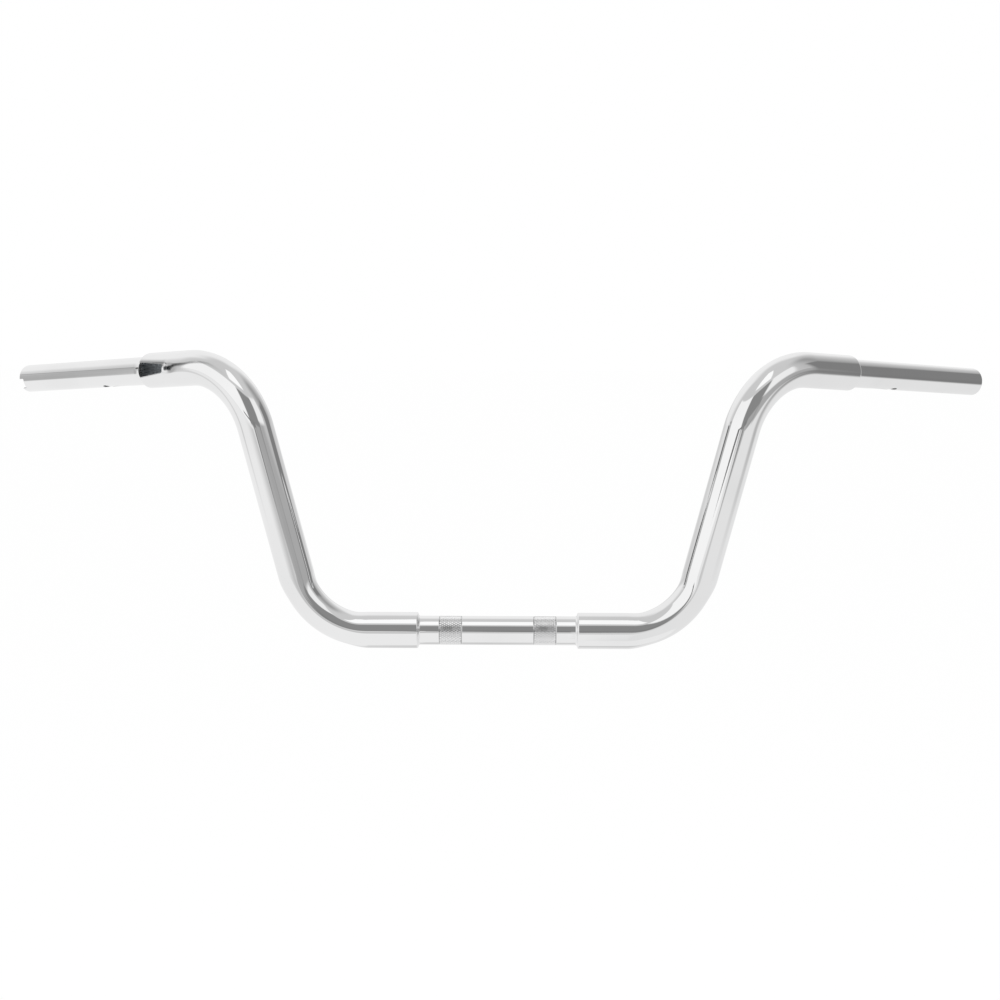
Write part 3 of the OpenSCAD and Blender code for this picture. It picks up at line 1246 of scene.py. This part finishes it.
@dataclass
class ClampTube:
    """Thin middle tube with two knurled bands and the weld fillet at each riser's foot."""

    line: CentreLine
    radius: float = 12.7
    bore: float = 10.6
    spigot: float = 12.4
    spigot_length: float = 28.0
    fillet: float = 1.775
    rim: float = 0.15
    bead: float = 0.03
    knurl_gap: float = 83.0
    knurl_width: float = 20.4
    knurl_depth: float = 0.3
    knurls_round: int = 45
    knurl_pitch: float = 3.4
    knurl_edge: float = 0.25
    plain_row: float = 0.15
    stud_share: float = 0.87
    stud_top: float = 0.66
    stud_sunk: float = 0.02
    least_stud: float = 0.93
    # Strength of the painted shade in the knurl's grooves.
    groove_shade: float = 0.55

    def painted_shade(self, s: Array, angle: Array) -> Array:
        """Shade that stays in the grooves of the knurl."""
        off = np.abs(np.abs(s + self.line.clamp_half) - self.knurl_gap / 2)
        return self.groove_shade * (off < self.knurl_width / 2 - 0.2)

    def dent(self, s: Array, angle: Array, r: Array) -> Array:
        """Gives the weld fillets the faint ripple of a bead laid by hand.

        Args:
            s: Distances in mm from the riser's foot.
            angle: Angles below the front, in radians.
            r: Radii in mm before it.

        Returns:
            Radii in mm after it.
        """
        x = np.abs(s + self.line.clamp_half)
        weld = smooth((x - (self.line.clamp_half - 2.2)) / 0.8) * smooth(
            (self.line.clamp_half + 0.2 - x) / 0.6)
        ripple = 0.35 * np.cos(40 * angle + 1.3 * np.sin(3 * angle)) + 0.65 * np.cos(5 * angle + 1)
        return r - weld * self.bead * (1.0 - ripple)

    def build(self, finishes: Sequence[Material]) -> bpy.types.Object:
        """Makes the tube itself.

        Args:
            finishes: Materials in the order of Coat.

        Returns:
            The finished piece.
        """
        zero, half = -self.line.clamp_half, self.line.clamp_half
        end = half + self.spigot_length
        top = self.radius + self.fillet
        root, edge = self.radius - self.knurl_depth, self.knurl_edge
        p = Profile(zero - end, self.bore).to(zero - end, self.spigot)
        p.to(zero - half, self.spigot, even(zero - end, zero - half, 10.0))
        p.to(zero - half, top).to(zero - half + self.rim, top)
        p.arc(zero - half + self.rim + self.fillet, top, self.fillet, 180, 270, 12)
        for middle in (zero - self.knurl_gap / 2, zero + self.knurl_gap / 2):
            a, b = middle - self.knurl_width / 2, middle + self.knurl_width / 2
            last = p.trace[-1][0] + self.plain_row
            p.to(a, self.radius, [last] + even(last, a, 6.0) + [a - self.plain_row])
            p.to(a + edge, root).to(b - edge, root).to(b, self.radius)
        last, foot = b + self.plain_row, zero + half - self.rim - self.fillet
        p.to(foot, self.radius, [last] + even(last, foot, 6.0))
        p.arc(foot, top, self.fillet, 270, 360, 12)
        p.to(zero + half, top).to(zero + half, self.spigot)
        p.to(zero + end, self.spigot, even(zero + half, zero + end, 10.0)).to(zero + end, self.bore)
        inner = Profile(zero - end, self.bore).to(
            zero + end, self.bore, even(zero - end, zero + end, 14.0))
        outer = Skin(self.line, p, dent=self.dent, painted_shade=self.painted_shade)
        facings = [outer.sheet([]), Skin(self.line, inner, Coat.BORE, inward=True).sheet([])]
        piece = tube_piece("clamp_bar", facings, Side.RIGHT, finishes)
        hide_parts("clamp_tube")
        return piece

    def knurl_tree(self, finish: Material) -> Tree:
        """Geometry node tree that rolls one knurled band of staggered diamonds.

        Args:
            finish: Material that the band gets.

        Returns:
            The tree, with its sizes as named inputs in metres.
        """
        number, whole, sunk = "NodeSocketFloat", "NodeSocketInt", self.stud_sunk * MM
        g, given, out = node_group(
            "rolled_knurl",
            [("Geometry", "NodeSocketGeometry", None), ("Middle", number, 0.0),
             ("Root Radius", number, 0.0124), ("Height", number, 0.0003),
             ("Pitch Along", number, 0.003), ("Pitch Round", number, 0.00177),
             ("Stud Share", number, 0.97), ("Diamonds Round", whole, 45), ("Rows", whole, 13),
             ("Seed", whole, 7)],
            [("Geometry", "NodeSocketGeometry")], "GeometryNodeTree")
        has, many = given.outputs, given.outputs["Diamonds Round"]
        line = g.node("GeometryNodeMeshLine", {"Count": g.maths("MULTIPLY", many, has["Rows"])})
        index = g.node("GeometryNodeInputIndex").outputs[0]
        row = g.maths("FLOOR", g.maths("DIVIDE", g.maths("ADD", index, 0.5), many))
        shift = g.maths("MULTIPLY", g.maths("MODULO", row, 2.0), 0.5)
        place = g.maths("ADD", g.maths("SUBTRACT", index, g.maths("MULTIPLY", row, many)), shift)
        angle = g.maths("MULTIPLY", g.maths("DIVIDE", place, many), 2 * math.pi)
        half_rows = g.maths("MULTIPLY", g.maths("SUBTRACT", has["Rows"], 1.0), 0.5)
        along = g.maths("MULTIPLY", g.maths("SUBTRACT", row, half_rows),
                        g.maths("MULTIPLY", has["Pitch Along"], 0.5))
        r = g.maths("SUBTRACT", has["Root Radius"], sunk)
        put = g.node("GeometryNodeSetPosition", {
            "Geometry": line.outputs["Mesh"], "Position": g.joined(
                g.maths("ADD", along, has["Middle"]),
                g.maths("MULTIPLY", g.maths("MULTIPLY", g.maths("SINE", angle), -1.0), r),
                g.maths("MULTIPLY", g.maths("COSINE", angle), r))})
        stud = g.node("GeometryNodeMeshCone", {
            "Vertices": 4, "Side Segments": 1, "Radius Bottom": 0.5,
            "Radius Top": self.stud_top / 2, "Depth": 1.0})
        turn = g.node("FunctionNodeEulerToRotation", {0: g.joined(angle)})
        vary = g.node("FunctionNodeRandomValue", {2: self.least_stud, 3: 1.0, "Seed": has["Seed"]},
                      data_type="FLOAT")
        on = g.node("GeometryNodeInstanceOnPoints", {
            "Points": put.outputs[0], "Instance": stud.outputs["Mesh"],
            "Rotation": turn.outputs[0], "Scale": g.joined(
                g.maths("MULTIPLY", has["Pitch Along"], has["Stud Share"]),
                g.maths("MULTIPLY", has["Pitch Round"], has["Stud Share"]),
                g.maths("MULTIPLY", g.maths("ADD", has["Height"], sunk), vary.outputs[1]))})
        real = g.node("GeometryNodeRealizeInstances", {0: on.outputs[0]})
        dress = g.node("GeometryNodeSetMaterial", {"Geometry": real.outputs[0],
                                                   "Material": finish})
        g.fill(out, {0: dress.outputs[0]})
        return g.tree

    def knurl(self, side: Side, tree: Tree) -> bpy.types.Object:
        """Rolls one knurled band and turns it into a plain mesh.

        Args:
            side: Side of the bar on which the band lies.
            tree: The tree made by knurl_tree.

        Returns:
            The finished band.
        """
        name = "knurl_" + side.name.lower()
        host = placed(name + "_host", bpy.data.meshes.new(name + "_host"))
        modifier = host.modifiers.new("roll", "NODES")
        modifier.node_group = tree
        rows = int(self.knurl_width / (self.knurl_pitch / 2)) - 1
        pitch = 2 * math.pi * (self.radius - self.knurl_depth) / self.knurls_round
        values = {"Middle": side.value * self.knurl_gap / 2 * MM,
                  "Root Radius": (self.radius - self.knurl_depth) * MM,
                  "Height": self.knurl_depth * MM,
                  "Pitch Along": self.knurl_pitch * MM,
                  "Pitch Round": pitch * MM,
                  "Stud Share": self.stud_share,
                  "Diamonds Round": self.knurls_round,
                  "Rows": rows,
                  "Seed": 7 + side.value}
        for item in tree.interface.items_tree:
            if item.in_out == "INPUT" and item.name in values:
                modifier[item.identifier] = values[item.name]
        graph = bpy.context.evaluated_depsgraph_get()
        mesh = bpy.data.meshes.new_from_object(host.evaluated_get(graph), depsgraph=graph)
        host.modifiers.remove(modifier)
        bpy.data.objects.remove(host)
        grown = np.zeros(len(mesh.vertices) * 3)
        mesh.vertices.foreach_get("co", grown)
        piece = placed(name, mesh)
        LOG.info("%s: %d faces, radius %.3f mm", name, len(mesh.polygons),
                 np.max(np.hypot(grown[1::3], grown[2::3])) / MM)
        return piece


def buffing_group() -> Tree:
    """Makes the group for the hair lines and haze that buffing leaves on bright plate.

    Returns:
        The group.
    """
    g, given, out = node_group(
        "buffed_metal",
        [("Vector", "NodeSocketVector", None), ("Line Scale", "NodeSocketFloat", 900.0),
         ("Haze Scale", "NodeSocketFloat", 14.0), ("Low", "NodeSocketFloat", 0.02),
         ("High", "NodeSocketFloat", 0.06)],
        [("Roughness", "NodeSocketFloat"), ("Height", "NodeSocketFloat"),
         ("Haze", "NodeSocketFloat")])
    stretch = g.node("ShaderNodeMapping", {
        "Vector": given.outputs["Vector"], "Scale": (1.0, 0.18, 0.22)})
    lines = g.noise(stretch.outputs[0], given.outputs["Line Scale"], 2.0, 0.6)
    haze = g.noise(given.outputs["Vector"], given.outputs["Haze Scale"], 4.0, 0.55)
    worn = g.ramp(haze, 0.42, 0.72)
    share = g.maths("ADD", g.maths("MULTIPLY", worn, 0.7), g.maths(
        "MULTIPLY", g.ramp(lines, 0.45, 0.8), 0.3))
    more = g.maths("SUBTRACT", given.outputs["High"], given.outputs["Low"])
    g.fill(out, {"Roughness": g.maths("MULTIPLY_ADD", share, more, given.outputs["Low"]),
                 "Height": lines, "Haze": worn})
    return g.tree


def grime_group() -> Tree:
    """Makes the group for the mottled grey of bare steel inside a tube.

    Returns:
        The group.
    """
    g, given, out = node_group(
        "bare_steel",
        [("Vector", "NodeSocketVector", None), ("Scale", "NodeSocketFloat", 180.0),
         ("Light", "NodeSocketColor", (0.16, 0.155, 0.15, 1)),
         ("Dark", "NodeSocketColor", (0.03, 0.028, 0.027, 1))],
        [("Colour", "NodeSocketColor"), ("Roughness", "NodeSocketFloat"),
         ("Height", "NodeSocketFloat")])
    grain = g.noise(given.outputs["Vector"], given.outputs["Scale"], 6.0, 0.65)
    patches = g.noise(given.outputs["Vector"], g.maths("MULTIPLY", given.outputs["Scale"], 0.25),
                      3.0, 0.5)
    share = g.maths("MULTIPLY", g.ramp(grain, 0.35, 0.7), g.ramp(patches, 0.35, 0.7))
    g.fill(out, {"Colour": g.blend(share, given.outputs["Dark"], given.outputs["Light"]),
                 "Roughness": g.ramp(grain, 0.2, 0.8, 0.12, 0.34), "Height": grain})
    return g.tree


@dataclass(frozen=True)
class Plate:
    """Bright chrome plate."""

    name: str
    colour: tuple[float, float, float]
    low: float
    high: float
    line_bump: float
    line_depth: float = 0.00002
    haze: float = 0.965
    # Colour of the painted shade and painted dark reflection laid over the plate.
    painted_darkness: tuple[float, float, float] = (0.016, 0.018, 0.02)

    def material(self, buffing: Tree) -> Material:
        """Makes the plate's material.

        Args:
            buffing: The group of buffing marks.

        Returns:
            The material.
        """
        made, s, shader = new_material(self.name)
        where = s.node("ShaderNodeTexCoord").outputs["Object"]
        marks = s.node("ShaderNodeGroup", {"Vector": where, "Low": self.low, "High": self.high},
                       node_tree=buffing).outputs
        dull = (*(c * self.haze for c in self.colour), 1.0)
        # Painted shade and painted dark reflection darken the plate by the point attribute, broken
        # up by fine noise.
        painted_shade = s.node("ShaderNodeAttribute", attribute_name="painted_shade").outputs["Fac"]
        painted_darkness_share = s.maths("MULTIPLY", painted_shade, s.ramp(s.noise(where, 700.0), 0.3, 0.6, 0.85, 1.0))
        plate = s.blend(marks["Haze"], (*self.colour, 1.0), dull)
        s.fill(shader, {"Base Color": s.blend(painted_darkness_share, plate, (*self.painted_darkness, 1.0)), "Metallic": 1.0,
                        "Roughness": marks["Roughness"],
                        "Normal": s.bump(marks["Height"], self.line_bump, self.line_depth)})
        return made


@dataclass(frozen=True)
class BareSteel:
    """Unplated steel of a bore or a cut edge, which the plating bath hardly reaches."""

    name: str
    light: tuple[float, float, float]
    dark: tuple[float, float, float]
    scale: float
    metallic: float
    grain_bump: float = 0.4
    grain_depth: float = 0.0001

    def material(self, grime: Tree) -> Material:
        """Makes the steel's material.

        Args:
            grime: The group of mottled steel.

        Returns:
            The material.
        """
        made, s, shader = new_material(self.name)
        marks = s.node("ShaderNodeGroup", {
            "Vector": s.node("ShaderNodeTexCoord").outputs["Object"], "Scale": self.scale,
            "Light": (*self.light, 1.0), "Dark": (*self.dark, 1.0)}, node_tree=grime).outputs
        s.fill(shader, {"Base Color": marks["Colour"], "Metallic": self.metallic,
                        "Roughness": marks["Roughness"],
                        "Normal": s.bump(marks["Height"], self.grain_bump, self.grain_depth)})
        return made


@dataclass(frozen=True)
class Panel:
    """A soft card by its direction from the bar in degrees, and the grey that plate shows of it."""

    name: str
    across: float
    half_across: float
    above: float
    half_above: float
    blur_across: float
    blur_above: float
    grey: float


@dataclass
class Studio:
    """White studio round the bar: floor, cards, lamps and camera."""

    reflectance: float = 0.86
    floor_drop: float = 0.8
    floor_grey: float = 233.0
    wall_grey: float = 200.0
    skirting: tuple[float, float] = (-2.5, 1.0)
    floor_size: float = 60.0
    lamp_size: float = 1.2
    lamp_set: tuple[tuple[str, tuple[float, float, float], float], ...] = (
        ("key_lamp", (-0.9, -1.4, 1.5), 14.0), ("fill_lamp", (1.3, -1.0, 0.9), 7.0))
    sensor: float = 36.0
    lens: float = 65.884
    far: float = 200.0
    stand: tuple[float, float, float] = (0.0136, -1.6, 0.25656)
    aim: tuple[float, float, float] = (0.43, -5.03, -0.19)
    panels: tuple[Panel, ...] = (
        Panel("rear wall", -156.8, 53.2, 31.9, 33.1, 14.3, 14.0, 234.0),
        Panel("rear ceiling", 188.1, 98.8, 84.4, 13.6, 10.5, 9.2, 201.0),
        Panel("right rear wall", 102.6, 21.3, 36.5, 24.0, 23.6, 8.6, 153.0),
        Panel("rear floor line", 171.6, 22.1, -55.3, 21.2, 10.5, 4.0, 204.0),
        Panel("rear low wall", 186.0, 72.2, 6.4, 4.5, 7.0, 5.0, 205.0),
        Panel("left floor shade", -7.3, 12.6, -8.4, 5.5, 27.7, 1.4, 181.0),
        Panel("right floor", 92.0, 87.5, -26.7, 30.5, 2.5, 2.0, 224.0),
        Panel("left soft box", -44.6, 38.5, 21.3, 21.7, 1.7, 1.3, 243.0),
        Panel("front wall", 12.7, 25.9, 21.8, 20.6, 2.8, 2.0, 134.0),
        Panel("front wall foot", 20.2, 22.4, 2.4, 5.9, 2.4, 1.8, 127.0),
        Panel("front wall side", -19.5, 10.5, 4.9, 1.1, 1.0, 0.4, 112.0),
        Panel("right wall", 73.8, 35.3, 3.4, 9.2, 3.6, 1.9, 167.0),
        Panel("right wall step", 24.3, 13.1, 2.7, 4.9, 3.3, 1.8, 163.0),
        Panel("right wall foot", 10.1, 6.9, -0.5, 2.7, 1.4, 1.1, 167.0),
        Panel("right soft box", 51.2, 17.0, 30.2, 14.5, 3.2, 2.6, 236.0),
        Panel("right door", 98.2, 16.8, 14.4, 21.8, 3.4, 2.6, 125.0),
        Panel("right low shade", 88.3, 13.0, -8.0, 8.2, 10.0, 5.5, 122.0),
        Panel("left door", -88.3, 4.4, 6.1, 15.2, 3.8, 1.0, 174.0),
        Panel("left low shade", -89.0, 5.5, -7.3, 8.4, 4.2, 3.7, 171.0),
        Panel("left edge", -99.0, 5.0, 11.5, 4.0, 1.5, 1.2, 98.0),
        Panel("left door top", -92.9, 4.0, 19.0, 1.0, 1.0, 0.8, 146.0),
        Panel("strip over the camera", 2.4, 24.0, 67.0, 15.0, 2.3, 2.0, 251.0),
    )

    def level(self, grey: float) -> float:
        """Light that the plate shows as the given grey of a screen, from 0 to 255."""
        c = grey / 255.0
        return (c / 12.92 if c < 0.04045 else ((c + 0.055) / 1.055) ** 2.4) / self.reflectance

    def panel_group(self) -> Tree:
        """Makes the group that lays one soft card over the light that is already there.

        Returns:
            The group.
        """
        kind = "NodeSocketFloat"
        g, given, out = node_group(
            "soft_card",
            [(n, kind, 0.0) for n in (
                "Light", "Across", "Above", "Across Middle", "Across Half", "Above Middle",
                "Above Half", "Across Blur", "Above Blur", "Level")],
            [("Light", kind)])
        parts = []
        for way in ("Across", "Above"):
            off = g.maths("SUBTRACT", given.outputs[way], given.outputs[way + " Middle"])
            if way == "Across":
                off = g.maths("SUBTRACT", g.maths("FLOORED_MODULO", g.maths("ADD", off, 180.0),
                                                  360.0), 180.0)
            inside = g.maths("SUBTRACT", given.outputs[way + " Half"], g.maths("ABSOLUTE", off))
            blur = given.outputs[way + " Blur"]
            parts.append(g.ramp(inside, g.maths("MULTIPLY", blur, -1.0), blur))
        share = g.maths("MULTIPLY", *parts)
        more = g.maths("SUBTRACT", given.outputs["Level"], given.outputs["Light"])
        g.fill(out, {"Light": g.maths("MULTIPLY_ADD", more, share, given.outputs["Light"])})
        return g.tree

    def light_world(self) -> None:
        """Builds the world: white to the camera, the studio's cards to the plate."""
        world = bpy.data.worlds.new("studio")
        bpy.context.scene.world = world
        world.use_nodes = True
        s = Nodes(world.node_tree)
        back = world.node_tree.nodes["Background"]
        look = s.node("ShaderNodeTexCoord").outputs["Generated"]
        x, y, z = s.node("ShaderNodeSeparateXYZ", {0: look}).outputs
        degrees = math.degrees(1.0)
        turn = s.maths("ARCTAN2", x, s.maths("MULTIPLY", y, -1.0))
        across = s.maths("MULTIPLY", turn, degrees)
        above = s.maths("MULTIPLY", s.maths("ARCSINE", z), degrees)
        light = s.ramp(above, *self.skirting, self.level(self.floor_grey),
                       self.level(self.wall_grey))
        card = self.panel_group()
        for panel in self.panels:
            laid = s.node("ShaderNodeGroup", {
                "Light": light, "Across": across, "Above": above, "Across Middle": panel.across,
                "Across Half": panel.half_across, "Above Middle": panel.above,
                "Above Half": panel.half_above, "Across Blur": panel.blur_across,
                "Above Blur": panel.blur_above, "Level": self.level(panel.grey)},
                node_tree=card, label=panel.name)
            light = laid.outputs["Light"]
        path = s.node("ShaderNodeLightPath").outputs
        plain = s.maths("MAXIMUM", path["Is Camera Ray"], path["Is Transmission Ray"])
        seen = s.blend(path["Is Glossy Ray"], (0.9, 0.9, 0.9, 1.0), light)
        s.fill(back, {"Color": s.blend(plain, seen, (1.0, 1.0, 1.0, 1.0)), "Strength": 1.0})

    def floor(self) -> None:
        size = self.floor_size
        mesh = bpy.data.meshes.new("studio_floor")
        corners = [(-size, -size), (size, -size), (size, size), (-size, size)]
        mesh.from_pydata([(x, y, -self.floor_drop) for x, y in corners], [], [(0, 1, 2, 3)])
        made, s, unused = new_material("pale_floor")
        made.node_tree.nodes.remove(unused)
        grain = s.noise(s.node("ShaderNodeTexCoord").outputs["Object"], 3.0)
        matt = s.node("ShaderNodeBsdfDiffuse", {
            "Color": s.blend(grain, (0.90, 0.90, 0.90, 1), (0.92, 0.92, 0.92, 1))})
        path = s.node("ShaderNodeLightPath").outputs
        level = self.level(self.floor_grey)
        glow = s.node("ShaderNodeEmission", {"Strength": 1.0, "Color": s.blend(
            path["Is Glossy Ray"], (1.015, 1.015, 1.015, 1), (level, level, level, 1))})
        lit = s.maths("MAXIMUM", path["Is Camera Ray"], s.maths(
            "MAXIMUM", path["Is Glossy Ray"], path["Is Transmission Ray"]))
        mix = s.node("ShaderNodeMixShader", {
            0: s.maths("MULTIPLY", lit, 0.9), 1: matt.outputs[0], 2: glow.outputs[0]})
        s.fill(made.node_tree.nodes["Material Output"], {"Surface": mix.outputs[0]})
        mesh.materials.append(made)
        floor = placed("studio_floor", mesh)
        floor.visible_glossy = False

    def lamps(self) -> None:
        """Hangs two soft lamps that light what isn't plated and give the floor its shadow."""
        for name, place, power in self.lamp_set:
            light = bpy.data.lights.new(name, "AREA")
            light.size, light.energy = self.lamp_size, power
            lamp = placed(name, light)
            lamp.location = place
            lamp.rotation_mode = "QUATERNION"
            lamp.rotation_quaternion = (-Vector(place)).to_track_quat("-Z", "Y")
            lamp.visible_glossy = False

    def camera(self) -> None:
        """Sets the camera at the photograph's viewpoint."""
        data = bpy.data.cameras.new("studio_camera")
        data.sensor_width, data.lens, data.clip_end = self.sensor, self.lens, self.far
        camera = placed("studio_camera", data)
        pan, tilt, roll = map(math.radians, self.aim)
        turn = (Matrix.Rotation(pan, 4, "Z") @ Matrix.Rotation(tilt, 4, "X")
                @ Matrix.Rotation(roll, 4, "Y") @ Matrix.Rotation(math.radians(90), 4, "X"))
        camera.matrix_world = Matrix.Translation(self.stand) @ turn
        bpy.context.scene.camera = camera


def main() -> None:
    """Builds the bar and its studio."""
    logging.basicConfig(level=logging.INFO, format="%(message)s")
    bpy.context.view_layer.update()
    bpy.context.scene.view_settings.view_transform = "Standard"
    studio = Studio()
    studio.camera()
    studio.light_world()
    studio.floor()
    studio.lamps()
    buffing, grime = buffing_group(), grime_group()
    chrome = Plate("chrome_tube", (0.86, 0.86, 0.862), 0.012, 0.04, 0.25).material(buffing)
    rolled = Plate("chrome_knurl", (0.86, 0.86, 0.862), 0.02, 0.05, 0.15).material(buffing)
    bore = BareSteel("bore_steel", (0.95, 0.97, 0.98), (0.6, 0.63, 0.65), 150.0, 0.0)
    edge = BareSteel("cut_edge", (0.55, 0.55, 0.55), (0.2, 0.2, 0.2), 420.0, 0.9)
    finishes = (chrome, bore.material(grime), edge.material(grime))
    line = CentreLine()
    clamp = ClampTube(line)
    pieces = [clamp.build(finishes)]
    tree = clamp.knurl_tree(rolled)
    pieces += [clamp.knurl(side, tree) for side in Side]
    for side in Side:
        pieces += [Riser(side, line).build(finishes), GripTube(side, line).build(finishes)]
    for piece in pieces:
        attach(piece, "root")
        LOG.info("%s is in place", piece.name)


if __name__ == "__main__":
    main()
